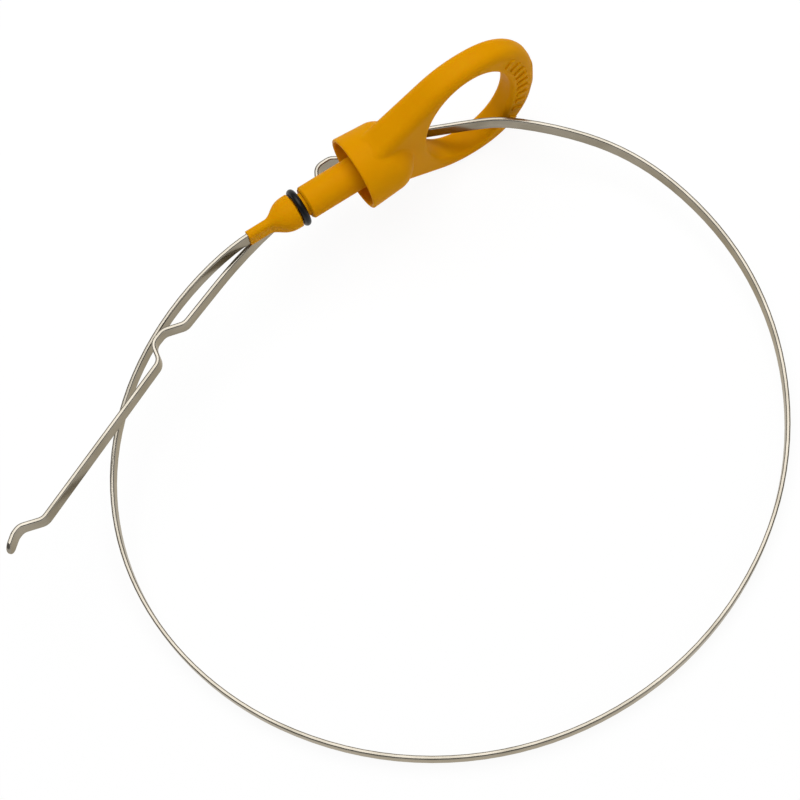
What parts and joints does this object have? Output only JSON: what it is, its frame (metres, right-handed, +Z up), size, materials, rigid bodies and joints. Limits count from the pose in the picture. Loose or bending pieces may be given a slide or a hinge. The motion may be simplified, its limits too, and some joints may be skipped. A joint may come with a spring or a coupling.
{
  "type": "engine oil dipstick",
  "caption": "Engine oil dipstick with a wide finger-ring handle, bell skirt, O-ring seal and a flat spring steel blade lying sprung into one loop, for checking the oil level.",
  "frame": {"origin": "middle of the whole part's bounding box, on the surface that it lies on", "axes": "+X along the handle's axis from the neck to the finger ring, +Z up from the surface, +Y across, away from the blade's loop"},
  "size_m": [0.209, 0.169, 0.0502],
  "materials": {
    "handle": "satin moulded",
    "o_ring": "smooth, faint sheen",
    "blade": "bright rolled strip"
  },
  "bodies": {
    "root": {"handle": "handle", "o_ring": "o_ring", "blade": "blade"}
  },
  "joints": []
}
